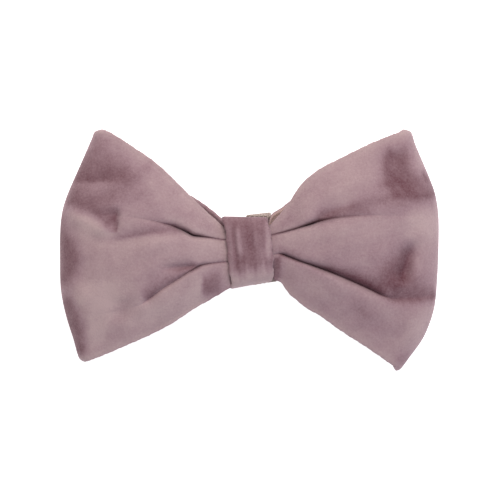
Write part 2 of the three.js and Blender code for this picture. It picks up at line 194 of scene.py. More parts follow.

# The cloth's slight unevenness, in millimetres, and the drift that roughens hems and the edges of the patches
# of dark pile, painted shade and painted highlights. Each wave is a product of two sines, with the rates and
# the start of both.
WAVE_COLUMNS = ("size", "x_rate", "y_rate", "start", "cross_x_rate", "cross_y_rate", "cross_start")
RIPPLES = (
    (0.28, 0.31, 0.13, 1.0, -0.11, 0.23, 0.4),
    (0.12, 0.71, -0.37, 2.0, 0.29, 0.63, 1.3),
)
DRIFTS = (
    (0.65, 0.83, 0.52, 0.0, -0.37, 0.61, 1.1),
    (0.35, 1.9, -1.3, 0.5, 1.1, 1.5, 2.2),
)
RIPPLE_STARTS = (0.14, 0.4)
BACK_RIPPLE = {"share": 0.6, "shift": 31.0}
HEM_DRIFT = {"reach": 0.16, "rate": 3.6, "side_shift": 3.0}
PATCH_DRIFT = {"reach": 0.6, "shift": 40.0, "share_on_lines": 0.5}

# The widths over which a deep crease fades, below and above its line, and over which its painted shade fades
# above the line: each at the knot, and added further out. A narrow core takes a share of its depth.
CREASE_BELOW = (0.4, 1.0)
CREASE_ABOVE = (0.45, 3.6)
CREASE_SHADE = {"low": (0.35, 2.9), "high": (0.3, 3.4)}
CREASE_SHADE_BELOW = 0.35
CREASE_SHADE_POWER = 2.6
CREASE_OPENS = (0.28, 0.6)
CREASE_CORE = {"width": 0.6, "share": 0.35}
BACK_CREASE_DEPTH = 2.0
BACK_CREASE_END = 0.45
BACK_HEM_LIFT = 3.4
BACK_HEM_POWER = 3

# Lesser folds of the front panels, each along a line of points (distance from the bow's middle, height).
# depth is down if positive; left and right are the fading widths on either side of the line as it is
# walked from its first point; sharp is 1 for a crease and 2 for a soft valley or ridge.
FOLD_COLUMNS = ("line", "depth", "left", "right", "sharp", "fade_in", "fade_out")
LEFT_FOLDS = (
    (((18.0, 5.2), (26.2, 5.7), (36.3, 3.6), (42.0, 2.6), (46.5, 2.8), (53.0, 5.4)),
     1.5, 2.6, 2.0, 1.5, 0.2, 0.6),
    (((15.0, -5.0), (21.1, -5.6), (29.0, -6.1)), 2.0, 1.4, 1.0, 1.2, 0.3, 0.5),
    (((57.0, 21.5), (51.4, 20.8), (44.8, 21.7), (38.0, 22.8)), 1.3, 1.0, 3.6, 1.3, 0.3, 0.5),
    (((41.3, 14.2), (41.2, 10.0), (41.8, 5.2)), 1.7, 4.0, 0.7, 1.2, 0.4, 0.3),
    (((58.5, 12.4), (52.7, 9.3), (46.6, 6.7), (42.6, 4.6)), -1.2, 2.6, 2.0, 2.0, 0.15, 0.3),
    (((59.0, -11.0), (53.0, -13.5), (46.0, -21.0)), -0.8, 3.0, 3.5, 2.0, 0.2, 0.5),
    (((40.0, -14.0), (39.5, -24.0)), 0.9, 3.0, 3.0, 2.0, 0.3, 0.4),
)
RIGHT_FOLDS = (
    (((19.0, 8.6), (24.4, 11.3), (29.7, 13.8), (35.0, 16.0)), 1.9, 3.0, 2.2, 1.4, 0.3, 0.6),
    (((51.6, 4.0), (49.9, -3.0), (47.0, -11.5)), 3.3, 2.3, 3.8, 1.6, 0.4, 0.3),
    (((43.5, -15.2), (51.8, -15.0), (59.5, -14.0)), 1.3, 3.0, 2.2, 1.5, 0.2, 0.2),
    (((50.8, 30.0), (55.5, 20.0), (57.5, 12.0)), -0.9, 2.8, 2.8, 2.0, 0.3, 0.4),
    (((46.5, 33.0), (46.8, 24.0), (50.0, 17.5)), 1.5, 4.0, 4.0, 2.0, 0.3, 0.3),
    (((54.5, 24.5), (57.0, 22.0)), 0.6, 1.4, 1.4, 2.0, 0.3, 0.3),
)

# Dark lines painted into the pile, with the folds' columns but for strength: painted shade along creases,
# dents and valleys, and pile brushed the dark way at the wings' outer edges and the top patches.
LEFT_SHADES = (
    (((56.0, 22.0), (51.3, 21.8), (45.7, 21.9), (41.0, 22.0), (35.4, 22.6)), 0.58, 0.7, 6.0, 2.0, 0.05, 0.45),
    (((42.0, 14.5), (41.4, 10.0), (41.5, 4.8)), 0.62, 3.0, 0.4, 1.8, 0.5, 0.12),
    (((19.5, 5.4), (21.9, 6.6), (25.1, 7.8), (28.6, 8.4)), 0.60, 0.3, 0.4, 1.6, 0.2, 0.35),
    (((58.0, 15.4), (48.6, 12.2), (43.2, 7.0)), 0.58, 1.4, 4.6, 1.8, 0.1, 0.1),
    (((57.0, 8.0), (51.1, 5.0), (46.2, 3.0), (42.0, 2.6)), 0.12, 0.8, 1.4, 1.6, 0.4, 0.2),
    (((20.5, 5.2), (21.9, 5.8), (25.1, 6.4), (28.3, 7.1), (33.0, 7.5)), 0.22, 0.9, 0.9, 1.8, 0.2, 0.4),
    (((45.0, 2.4), (40.0, 3.4), (33.0, 4.9), (26.0, 5.7), (20.5, 5.8)), 0.46, 0.6, 1.7, 1.5, 0.25, 0.3),
    (((60.4, 16.0), (60.2, 8.0), (57.2, 1.0), (55.2, -3.5), (57.8, -8.0), (60.0, -13.0)),
     0.70, 12.0, 3.4, 1.7, 0.2, 0.1),
    (((60.0, -13.0), (56.0, -18.6), (54.4, -24.0), (53.4, -29.5), (52.6, -35.0)),
     0.72, 12.0, 2.2, 1.7, 0.2, 0.15),
    (((15.5, -5.2), (21.9, -8.7), (27.5, -12.0), (32.8, -15.8)), 0.46, 3.3, 0.4, 1.7, 0.12, 0.06),
    (((14.5, -4.9), (19.4, -5.7), (28.5, -6.2)), 0.36, 0.9, 0.8, 1.6, 0.1, 0.5),
    (((14.0, -6.6), (14.3, -11.3), (13.9, -15.4)), 0.42, 0.5, 3.8, 1.7, 0.4, 0.2),
)
RIGHT_SHADES = (
    (((46.0, 32.5), (43.9, 29.5), (43.4, 24.0), (43.8, 19.0)), 0.66, 7.0, 2.3, 1.8, 0.2, 0.1),
    (((42.5, 16.8), (48.6, 16.5), (54.0, 16.7), (59.3, 17.4)), 0.70, 4.2, 1.6, 1.6, 0.2, 0.05),
    (((20.6, 9.4), (24.4, 11.0), (30.3, 12.9), (36.0, 14.9), (42.0, 16.2)), 0.48, 1.2, 2.0, 1.6, 0.08, 0.6),
    (((51.2, 3.6), (49.9, -1.8), (48.1, -7.3), (45.8, -13.4)), 0.80, 2.1, 4.0, 1.6, 0.35, 0.12),
    (((42.5, -14.8), (48.0, -15.4), (54.0, -15.3), (59.0, -14.8)), 0.62, 4.2, 2.0, 1.7, 0.2, 0.05),
    (((8.6, -1.5), (8.9, -5.0), (9.0, -9.5)), 0.72, 1.4, 2.5, 1.6, 0.2, 0.1),
    (((9.0, -1.2), (13.0, -2.4), (18.5, -4.6)), 0.60, 0.5, 1.0, 1.6, 0.1, 0.4),
)

# Patches painted into the pile: ellipses with their half axes and turn in degrees. A positive strength
# darkens, for pile brushed the dark way and for painted shade in dents and valleys; a negative strength
# paints a highlight along a ridge. power is 1 for a soft patch and more for one with a clear edge.
NAP_COLUMNS = ("x", "y", "long", "wide", "turn", "strength", "power")
WING_NAP_AND_PAINTED_LIGHT = (
    (-47.0, 24.5, 13.0, 10.0, 10.0, 0.30, 1.4),
    (-34.0, 13.0, 10.0, 4.0, -38.0, 0.10, 1.2),
    (-52.6, 26.5, 10.0, 3.6, 64.0, 0.25, 1.0),
    (-37.8, 22.6, 4.2, 3.2, 0.0, 0.45, 1.2),
    (-39.5, 22.5, 8.0, 5.0, -45.0, 0.22, 1.2),
    (-46.5, 35.0, 4.0, 3.0, 0.0, 0.22, 1.0),
    (-47.5, 11.0, 3.6, 1.8, 0.0, 0.25, 1.0),
    (-54.4, 16.6, 4.6, 3.6, 0.0, 0.40, 1.2),
    (-42.5, 16.0, 4.0, 2.6, 0.0, 0.30, 1.2),
    (-31.4, 26.6, 2.4, 1.4, 40.0, 0.30, 1.0),
    (-11.5, -10.9, 5.2, 2.6, 78.0, 0.48, 1.4),
    (-17.6, -14.2, 4.5, 2.0, 60.0, -0.40, 1.0),
    (-28.0, 14.5, 9.0, 4.0, -42.0, 0.10, 1.0),
    (-22.5, 8.8, 4.0, 1.5, -20.0, -0.24, 1.0),
    (26.0, 17.0, 12.0, 4.5, 38.0, -0.10, 1.0),
    (-46.6, -21.4, 9.6, 3.1, 69.0, -0.52, 1.0),
    (-38.8, -18.6, 5.0, 2.0, 78.0, 0.12, 1.0),
    (-50.4, 7.8, 8.0, 1.9, -27.0, -0.46, 1.0),
    (-13.2, 6.8, 3.6, 1.4, -24.0, 0.16, 1.0),
    (-52.4, 4.9, 6.0, 1.8, -20.0, -0.28, 1.0),
    (-33.0, 2.4, 12.0, 1.6, 7.0, -0.16, 1.0),
    (-29.0, -18.6, 10.0, 4.0, 28.6, -0.22, 1.0),
    (-41.0, -14.5, 7.0, 5.0, 0.0, -0.14, 1.0),
    (-51.5, -14.6, 6.0, 2.2, 40.0, -0.30, 1.0),
    (-49.0, -14.0, 8.0, 5.0, 70.0, -0.14, 1.0),
    (-11.5, 2.5, 5.0, 8.0, 0.0, -0.14, 1.0),
    (48.6, 29.4, 4.6, 3.0, 90.0, 0.52, 1.2),
    (48.6, 20.0, 7.6, 3.4, 0.0, 0.72, 1.3),
    (48.6, 25.0, 6.0, 2.4, 100.0, 0.16, 1.0),
    (30.0, -4.6, 8.0, 1.6, -25.0, 0.12, 1.0),
    (47.5, 13.4, 10.0, 2.4, 11.0, 0.26, 1.0),
    (55.7, 22.9, 1.8, 1.0, 120.0, 0.60, 1.0),
    (41.5, 15.5, 3.4, 1.8, 0.0, 0.40, 1.0),
    (34.0, 12.6, 7.0, 1.6, 12.0, 0.12, 1.0),
    (18.0, -3.2, 6.0, 1.6, -14.0, 0.15, 1.0),
    (28.0, 5.5, 10.0, 2.2, 3.0, -0.10, 1.0),
    (18.0, 4.8, 9.0, 2.4, 8.0, -0.14, 1.0),
    (21.0, 10.6, 4.0, 1.4, 25.0, 0.20, 1.0),
    (22.0, -13.5, 8.0, 3.0, -32.0, -0.14, 1.0),
    (45.6, -8.8, 6.6, 5.4, 60.0, 0.60, 1.3),
    (41.6, -8.6, 4.2, 2.8, -25.0, 0.30, 1.0),
    (51.0, -10.5, 6.0, 3.6, 0.0, 0.34, 1.2),
    (55.5, 7.6, 6.0, 4.4, 0.0, -0.40, 1.0),
    (52.5, -26.0, 7.0, 4.0, 60.0, -0.30, 1.0),
    (11.0, 8.4, 4.0, 1.8, 40.0, 0.24, 1.0),
    (12.5, -0.8, 4.0, 1.2, -15.0, 0.30, 1.0),
    (58.5, -14.5, 2.0, 1.6, 0.0, 0.40, 1.0),
    (36.0, -20.6, 10.0, 3.4, -34.0, 0.25, 1.0),
    (48.2, -35.5, 4.0, 2.6, 40.0, 0.35, 1.0),
    (33.0, -8.0, 32.0, 34.0, 0.0, 0.08, 4.0),
)
WING_NAP_BASE = 0.25
MIDDLE_NAP = 0.42
# A painted highlight along the front's hems, where the pile's sheen catches the light: its width, strength
# and the shares over which it starts.
HEM_LIGHT = {"width": 1.5, "light": 0.24, "starts": (0.14, 0.26)}
BACK_NAP = {"base": 0.40, "drift": 0.5, "stretch": 0.6, "shift": 11.0}
# The hems are turned in, so the pile shows for a few millimetres inside them, darkened there as painted
# shade.
# Beside the knot's right side the turn has slipped out, and the lining shows as far as the hem.
HEM_TURN = {"width": 6.0, "edge": 1.2, "nap": 0.52}
HEM_TURN_SLIPPED = (0.24, 0.40)

# Steps of the meshes along each cloth and round its wall, and how closely they gather at the knot, the hems
# and the creases. An inset beyond INNER_FACE is on the wall's inner face.
BAND_STEPS = {"front": 96, "turn": 24, "back": 56, "face": 132, "hem": 6, "inner": 66}
WRAP_STEPS = {"round": 181, "face": 56, "hem": 5, "inner": 28}
LOOP_STEPS = {"leg": 7, "bend": 12, "run": 18, "face": 36, "hem": 4}
LOBES = 3
KNOT_GATHER = 1.2
SECTION_GATHER = 0.7
INNER_FACE = 0.9

# The knot's wrap, a ring around the gathers, in its own turned frame.
WRAP_CENTRE = (-0.2, -0.45, 14.3)
WRAP_TILT = 5.0
WRAP_HALF_HEIGHT = 10.8
WRAP_HALF_DEPTH = 8.2
WRAP_SQUARENESS = 3.0
WRAP_TAPER = 0.0095
WRAP_BACK_HALF_WIDTH = 6.8
WRAP_SIDE_BLEND = 0.3
# The side edges' slight waves, as sizes and rates up the knot.
WRAP_EDGE_WAVES = ((0.14, 1.3), (0.08, 3.1))
# The front's side edges, at shares of its half height.
WRAP_SIDE_COLUMNS = ("height", "left", "right")
WRAP_SIDES = (
    (-1.00, -6.2, 7.0),
    (-0.50, -6.65, 7.3),
    (-0.30, -6.7, 7.6),
    (0.15, -6.7, 7.45),
    (0.50, -6.7, 7.4),
    (0.80, -6.9, 7.0),
    (1.00, -7.9, 6.7),
)
WRAP_CROWN = 0.9
WRAP_CROWN_POWER = 4
# Tucks run up the knot's front: where across it, how high, how wide, how much painted highlight they lay on
# the pile (painted shade where negative), and the heights between which they show.
TUCK_COLUMNS = ("at", "height", "width", "light", "low", "high")
WRAP_TUCKS = (
    (-5.6, 0.15, 0.9, 0.22, -9.0, 9.0),
    (-4.3, -0.30, 0.8, -0.10, -7.0, 8.5),
    (-2.7, 0.40, 1.0, 0.34, -1.0, 7.5),
    (0.6, -0.30, 1.2, -0.08, 0.0, 8.0),
    (3.2, 0.15, 1.4, 0.10, -5.0, 6.0),
    (6.2, 0.20, 1.1, 0.48, -3.0, 8.0),
    (6.0, 0.00, 1.2, -0.26, -8.5, -5.5),
)
TUCK_SWAY = {"reach": 0.25, "rate": 0.35}
TUCK_FADE = 2.0
# The knot's pile: streaks up it, its tone lighter towards its foot, and the flap where the wrap ends at the
# back.
WRAP_NAP = {"base": 0.71, "streak": 0.04, "least": 0.05}
WRAP_STREAKS = {
    "broad": 0.6,
    "broad_rate": 1.4,
    "sway": 0.9,
    "sway_rate": 2.0,
    "fine": 0.4,
    "fine_rate": 3.7,
    "fine_start": 1.7,
}
WRAP_LOW_LIGHT = {"from": -3.6, "to": -9.2, "light": 0.68, "slant": 0.22, "ragged": 0.7}
WRAP_FLAP = {"rises": (292.0, 300.0), "falls": (330.0, 356.0), "height": 0.7}

# The elastic loop: two short legs sewn at the wrap's top and bottom, and a flat run behind. slant is how far
# it rises for each millimetre to the right, and end_slant how far its sewn ends close in with the wrap's
# taper. A leg's sewn end and its foot are tucked in behind the wrap.
LOOP = {"x": 4.1, "run": 0.3, "bend": 5.0, "leg_end": 9.4, "gap": 0.35, "slant": 0.02, "end_slant": 0.095}
LOOP_TUCK = {"top_end": 1.4, "top": 0.6, "bottom_end": 1.6, "bottom": 1.6}
# Hand stitches over each sewn end: how many, how far they spread across the elastic, how far they reach back
# along it and on over the wrap, and their thread's half thickness.
STITCHES = {"count": 5, "spread": 5.6, "back": 0.9, "over": 0.9, "thread": 0.2}
# The stitches' facets, and the elastic's weave: its picks along the loop, how far ribs and picks stand out,
# how dark the painted shade in its hollows is, and how worn its threads are.
THREAD_SEGMENTS = {"u_segments": 10, "v_segments": 8}
ELASTIC_WEAVE = {"picks": 70, "rib": 0.3, "pick": 0.2, "shadow": 0.75, "wear": 0.35}
ELASTIC_WORN = (0.44, 0.35, 0.31)
THREAD_SHADOW = 0.6

# The photograph's frame: its width across the bow, in millimetres, and the image's middle on the bow.
FRAME_WIDTH = 157.9
FRAME_MIDDLE = (0.2, -0.16)
FRAME_HEIGHT_ON_BOW = 10.0

# The lights' places and widths, and the floor's half width, in metres.
LIGHT_PLACES = {"key": (0.05, 0.42, 0.72), "fill": (0.42, -0.52, 0.5)}
LIGHT_WIDTHS = {"key": 0.55, "fill": 0.8}
FLOOR_HALF_WIDTH = 3.0


def colour_property(name, description, default):
    return FloatVectorProperty(
        name=name, description=description, subtype="COLOR", size=3, min=0.0, max=1.0, default=default
    )


class VelvetSettings(PropertyGroup):
    """Sizes and colours of the velvet band and wrap."""

    band_wall: FloatProperty(
        name="Band wall", description="Thickness of the band's two plies", default=2.0 * MM, unit="LENGTH"
    )
    wrap_wall: FloatProperty(
        name="Wrap wall", description="Thickness of the knot's wrap", default=1.6 * MM, unit="LENGTH"
    )
    # The pile's ramp of colours. Painted highlights on ridges and hems lighten towards the light pile, and
    # painted shade in creases, dents and valleys darkens towards the dark pile.
    light_pile: colour_property(
        "Light pile", "Colour where the pile is brushed towards the light", (0.434, 0.307, 0.309)
    )
    middle_pile: colour_property("Middle pile", "Colour where the pile stands up", (0.313, 0.199, 0.220))
    dark_pile_and_shade: colour_property(
        "Dark pile", "Colour where the pile is brushed away from the light", (0.119, 0.043, 0.055)
    )
    lining: colour_property(
        "Lining", "Colour of the cloth's woven back, inside the wings", (0.46, 0.315, 0.29)
    )


class ElasticSettings(PropertyGroup):
    """Sizes and colours of the elastic collar loop and its thread."""

    width: FloatProperty(name="Width", description="Width of the elastic", default=8.0 * MM, unit="LENGTH")
    wall: FloatProperty(name="Wall", description="Thickness of the elastic", default=1.0 * MM, unit="LENGTH")
    rib_count: IntProperty(
        name="Ribs", description="Woven ribs across the elastic", default=12, min=4, max=40
    )
    colour: colour_property("Colour", "Colour of the elastic", (0.43, 0.33, 0.292))


class StageSettings(PropertyGroup):
    """Light, floor and camera."""

    key_power: FloatProperty(
        name="Key light", description="Power of the soft light above the bow", default=5.6, unit="POWER"
    )
    fill_power: FloatProperty(
        name="Fill light",
        description="Power of the soft light from the bow's foot",
        default=1.9,
        unit="POWER",
    )
    key_colour: colour_property("Key colour", "Colour of the light above the bow", (1.0, 0.98, 0.965))
    fill_colour: colour_property(
        "Fill colour", "Colour of the light from the bow's foot", (0.66, 0.78, 1.0)
    )
    sky: FloatProperty(name="Sky", description="Brightness of the white surroundings", default=0.36)
    floor_colour: colour_property("Floor", "Colour of the floor", (0.93, 0.93, 0.93))
    floor_glow: FloatProperty(
        name="Floor glow", description="Light that the white floor gives off", default=0.75
    )
    lens: FloatProperty(name="Lens", description="Focal length of the camera", default=200.0, unit="CAMERA")


# Curves and folds


class Columns:
    """Smooth curves through a table's rows, read by the table's first column."""

    def __init__(self, names, rows):
        table = np.array(rows, dtype=float)
        self.places = table[:, 0]
        self.curves = {name: table[:, i + 1] for i, name in enumerate(names[1:])}

    def __call__(self, name, at):
        x, y = self.places, self.curves[name]
        slope = np.empty_like(y)
        slope[1:-1] = (y[2:] - y[:-2]) / (x[2:] - x[:-2])
        slope[0] = (y[1] - y[0]) / (x[1] - x[0])
        slope[-1] = (y[-1] - y[-2]) / (x[-1] - x[-2])
        i = np.clip(np.searchsorted(x, at, side="right") - 1, 0, len(x) - 2)
        span = x[i + 1] - x[i]
        t = (at - x[i]) / span
        rise = t * t * (3 - 2 * t)
        start = t * (1 - t) ** 2
        end = t * t * (t - 1)
        return y[i] * (1 - rise) + y[i + 1] * rise + span * (slope[i] * start + slope[i + 1] * end)


def smoothstep(low, high, at):
    """A smooth rise from 0 at low to 1 at high, which may be the lesser of the two."""
    t = np.clip((at - low) / (high - low), 0.0, 1.0)
    return t * t * (3 - 2 * t)


class Fold:
    """A lesser fold along a smooth line on a wing's front panel."""

    SAMPLES = 28
    PAST_END = 0.02

    def __init__(self, line, depth, left, right, sharp, fade_in, fade_out):
        points = np.array(line, dtype=float)
        steps = np.linalg.norm(np.diff(points, axis=0), axis=1)
        places = np.concatenate([[0.0], np.cumsum(steps)]) / steps.sum()
        curve = Columns(("place", "out", "y"), np.column_stack([places, points]))
        at = np.linspace(0.0, 1.0, self.SAMPLES)
        self.line = np.column_stack([curve("out", at), curve("y", at)])
        self.depth, self.left, self.right, self.sharp = depth, left, right, sharp
        self.fade_in, self.fade_out = fade_in, fade_out

    def pull(self, out, y):
        """How far the fold pulls the cloth down at each point."""
        nearest = np.full(out.shape, np.inf)
        side = np.zeros(out.shape)
        along = np.zeros(out.shape)
        for k in range(len(self.line) - 1):
            (ax, ay), (bx, by) = self.line[k], self.line[k + 1]
            dx, dy = bx - ax, by - ay
            t = np.clip(((out - ax) * dx + (y - ay) * dy) / (dx * dx + dy * dy), 0.0, 1.0)
            distance = np.hypot(out - ax - t * dx, y - ay - t * dy)
            closer = distance < nearest
            nearest = np.where(closer, distance, nearest)
            side = np.where(closer, dx * (y - ay) - dy * (out - ax), side)
            along = np.where(closer, (k + t) / (len(self.line) - 1), along)
        width = np.where(side > 0, self.left, self.right)
        start = smoothstep(-self.PAST_END, self.fade_in, along)
        end = smoothstep(1 - self.fade_out, 1 + self.PAST_END, along)
        return self.depth * start * (1 - end) * np.exp(-((nearest / width) ** self.sharp))


class Wing:
    """One wing's curves, edge and folds."""

    def __init__(self, side, outline, creases, edge, folds, shades):
        self.side = side
        self.outline = Columns(OUTLINE_COLUMNS, outline)
        self.panels = Columns(PANEL_COLUMNS, PANELS)
        self.creases = Columns(CREASE_COLUMNS, creases)
        self.edge = Columns(EDGE_COLUMNS, edge)
        self.folds = [Fold(**dict(zip(FOLD_COLUMNS, row))) for row in folds]
        # The shade lines lay painted shade along folds and dark brushed pile into the pile's tone.
        self.shades = [Fold(**dict(zip(FOLD_COLUMNS, row))) for row in shades]
        self.tip = dict(zip(OUTLINE_COLUMNS, outline[-1]))

    def outer_edge(self, place, past_hem, hem):
        """How far out the edge is at each place across the wing, and how round its fold is there."""
        tip = self.tip
        levels = (tip["bottom"] + hem, tip["low"], tip["high"], tip["top"] - hem)
        y = across_lobes([np.full(place.shape, level) for level in levels], place) + past_hem * hem
        up = np.clip((y - tip["bottom"]) / (tip["top"] - tip["bottom"]), 0.0, 1.0)
        fold = FOLD_REACH * (1 + (CORNER_REACH - 1) * np.abs(2 * up - 1) ** CORNER_POWER)
        return self.edge("reach", up), fold

    def front_height(self, share, out, y):
        bottom, top = self.outline("bottom", share), self.outline("top", share)
        from_middle = np.abs(2 * (y - bottom) / (top - bottom) - 1)
        height = self.panels("crown", share) - self.panels("droop", share) * from_middle**DROOP_POWER
        for crease in ("low", "high"):
            distance = y - self.outline(crease, share)
            height = height - self.creases(crease + "_depth", share) * crease_pull(distance, share)
        for fold in self.folds:
            height = height - fold.pull(out, y)
        return height + uneven(RIPPLES, self.side * out, y) * smoothstep(*RIPPLE_STARTS, share)

    def front_nap_and_painted_light(self, share, out, y):
        """How dark the front's pile is: brushed pile, painted shade in its folds, and painted highlights."""
        hem = np.minimum(y - self.outline("bottom", share), self.outline("top", share) - y)
        # A painted highlight along the hems.
        painted_hem_highlight = HEM_LIGHT["light"] * np.exp(-((hem / HEM_LIGHT["width"]) ** 2))
        painted_hem_highlight = painted_hem_highlight * smoothstep(*HEM_LIGHT["starts"], share)
        drift = PATCH_DRIFT["reach"] * uneven(DRIFTS, out, y)
        rise = PATCH_DRIFT["reach"] * uneven(DRIFTS, y + PATCH_DRIFT["shift"], out)
        # Patches of dark brushed pile, painted shade and painted highlights.
        light = patch_nap_and_painted_light(self.side * (out + drift), y + rise)
        # Painted shade in the deep creases, widest above each line, where the lobe's flank faces away from
        # the light.
        for crease in ("low", "high"):
            distance = y - self.outline(crease, share)
            pinched, opened = CREASE_SHADE[crease]
            above = pinched + opened * smoothstep(*CREASE_OPENS, share)
            width = np.where(distance < 0, CREASE_SHADE_BELOW, above)
            dark = np.clip(self.creases(crease + "_dark", share), 0.0, 1.0)
            light = light * (1 - dark * np.exp(-np.abs(distance / width) ** CREASE_SHADE_POWER))
        # Lines of painted shade along creases, dents and valleys, and of pile brushed the dark way.
        held = PATCH_DRIFT["share_on_lines"]
        for shade in self.shades:
            light = light * (1 - shade.pull(out + held * drift, y + held * rise))
        return 1 - light - painted_hem_highlight

    def back_height(self, share, out, y):
        bottom, top = self.outline("back_bottom", share), self.outline("back_top", share)
        from_middle = np.abs(2 * (y - bottom) / (top - bottom) - 1)
        fade = 1 - smoothstep(0.0, BACK_CREASE_END, share)
        pull = sum(crease_pull(y - self.outline(crease, share), share) for crease in ("low", "high"))
        height = self.panels("back", share) + BACK_HEM_LIFT * from_middle**BACK_HEM_POWER
        height = height + BACK_CREASE_DEPTH * fade * pull
        ripple = BACK_RIPPLE["share"] * uneven(RIPPLES, self.side * out + BACK_RIPPLE["shift"], y)
        return np.maximum(0.0, height + ripple)


def across_lobes(heights, place):
    """Heights across a wing, its hems and creases being evenly spread over the places from 0 to 1."""
    stack = np.stack(heights)
    lobe = np.clip((place * LOBES).astype(int), 0, LOBES - 1)
    t = place * LOBES - lobe
    column = np.arange(len(place))
    return stack[lobe, column] * (1 - t) + stack[lobe + 1, column] * t


def crease_pull(distance, share):
    """How much of a crease's depth is reached at a distance above (or, if negative, below) its line."""
    opened = smoothstep(*CREASE_OPENS, share)
    below = CREASE_BELOW[0] + CREASE_BELOW[1] * opened
    above = CREASE_ABOVE[0] + CREASE_ABOVE[1] * opened
    roll = np.exp(-np.abs(distance) / np.where(distance < 0, below, above))
    core = np.exp(-np.abs(distance) / CREASE_CORE["width"])
    return roll + CREASE_CORE["share"] * (core - roll)


def uneven(waves, x, y):
    """The sum of a table's waves at each point."""
    total = 0.0
    for row in waves:
        wave = dict(zip(WAVE_COLUMNS, row))
        first = np.sin(wave["x_rate"] * x + wave["y_rate"] * y + wave["start"])
        cross = np.sin(wave["cross_x_rate"] * x + wave["cross_y_rate"] * y + wave["cross_start"])
        total = total + wave["size"] * first * cross
    return total


def patch_nap_and_painted_light(x, y):
    """What the patches of dark pile, painted shade and painted highlights leave of the wings' light pile."""
    light = np.ones(x.shape) * (1 - WING_NAP_BASE)
    for row in WING_NAP_AND_PAINTED_LIGHT:
        patch = dict(zip(NAP_COLUMNS, row))
        turn = math.radians(patch["turn"])
        along = (x - patch["x"]) * math.cos(turn) + (y - patch["y"]) * math.sin(turn)
        across = (y - patch["y"]) * math.cos(turn) - (x - patch["x"]) * math.sin(turn)
        radius = (along / patch["long"]) ** 2 + (across / patch["wide"]) ** 2
        light = light * (1 - patch["strength"] * np.exp(-(radius ** patch["power"])))
    return light


# Meshes


def wall_section(face_steps, hem_steps, inner_steps, lobes):
    """The places round a cloth wall's section: across the cloth, into the wall, and past the hem.

    The steps are closest at the hems and at the creases between the lobes.
    """

    def gather(t):
        lobe = np.minimum(np.floor(t * lobes), lobes - 1)
        within = t * lobes - lobe
        return (lobe + within - SECTION_GATHER * np.sin(2 * math.pi * within) / (2 * math.pi)) / lobes

    face = gather(np.linspace(0.0, 1.0, face_steps + 1))
    inner = gather(np.linspace(1.0, 0.0, inner_steps + 1))
    turn = np.linspace(0.0, math.pi, hem_steps + 2)[1:-1]
    level, inner_level = np.zeros(face_steps + 1), np.zeros(inner_steps + 1)
    inward = (1 - np.cos(turn)) / 2
    first = [0.0]
    place = np.concatenate([face, np.ones(hem_steps), inner, np.zeros(hem_steps), first])
    inset = np.concatenate([level, inward, inner_level + 1, 1 - inward, first])
    past = np.concatenate([level, np.sin(turn), inner_level, -np.sin(turn), first])
    return place, inset, past


def cloth_from_grid(name, points, shades, closed_along):
    """A mesh object from a grid laid along the cloth and round its wall, with its seams merged.

    points, and each named array of shades, hold one row for each step along the cloth and one column for
    each step round its wall.
    """
    rows, columns = points.shape[0] - 1, points.shape[1] - 1
    bm = bmesh.new()
    bmesh.ops.create_grid(bm, x_segments=rows, y_segments=columns, size=0.5)
    uv_layer = bm.loops.layers.uv.new("cloth")
    for face in bm.faces:
        for loop in face.loops:
            loop[uv_layer].uv = (loop.vert.co.x + 0.5, loop.vert.co.y + 0.5)
    layers = {label: bm.verts.layers.float.new(label) for label in shades}
    for vert in bm.verts:
        cell = round((vert.co.x + 0.5) * rows), round((vert.co.y + 0.5) * columns)
        for label, layer in layers.items():
            vert[layer] = shades[label][cell]
        vert.co = points[cell] * MM
    bmesh.ops.remove_doubles(bm, verts=bm.verts, dist=1e-7)
    if not closed_along:
        ends = [edge for edge in bm.edges if edge.is_boundary]
        bmesh.ops.holes_fill(bm, edges=ends, sides=0)
    bmesh.ops.recalc_face_normals(bm, faces=bm.faces)
    return smooth_object(name, bm)


def smooth_object(name, bm):
    """An object with the shape of a bmesh, which is freed, in the scene and shaded smooth."""
    for face in bm.faces:
        face.smooth = True
    mesh = bpy.data.meshes.new(name)
    bm.to_mesh(mesh)
    bm.free()
    piece = bpy.data.objects.new(name, mesh)
    bpy.context.scene.collection.objects.link(piece)
    return piece


def finish_piece(piece, material, nodes=()):
    piece.data.materials.clear()
    piece.data.materials.append(material)
    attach(piece, "root")
    if nodes:
        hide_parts(*nodes)


def band_points(wall):
    """The velvet band's points, pile tones with painted shade and highlights, and lining, from the knot's
    front.
    """
    right = Wing(1, RIGHT_OUTLINE, RIGHT_CREASES, RIGHT_EDGE, RIGHT_FOLDS, RIGHT_SHADES)
    left = Wing(-1, LEFT_OUTLINE, LEFT_CREASES, LEFT_EDGE, LEFT_FOLDS, LEFT_SHADES)
    front = np.linspace(0.0, 1.0, BAND_STEPS["front"]) ** KNOT_GATHER
    back = np.linspace(1.0, 0.0, BAND_STEPS["back"]) ** KNOT_GATHER
    turns = np.linspace(0.0, 180.0, BAND_STEPS["turn"])[1:-1]
    half = [(p, 0.0) for p in front] + [(1.0, turn) for turn in turns] + [(p, 180.0) for p in back]
    stations = [(right, *station) for station in half] + [(left, *station) for station in half[-2::-1]]
    section = wall_section(BAND_STEPS["face"], BAND_STEPS["hem"], BAND_STEPS["inner"], LOBES)
    rings = [band_ring(wing, progress, angle, wall, section) for wing, progress, angle in stations]
    points, nap, lining = (np.stack(part) for part in zip(*rings))
    return points, {"nap": nap, "lining": lining}


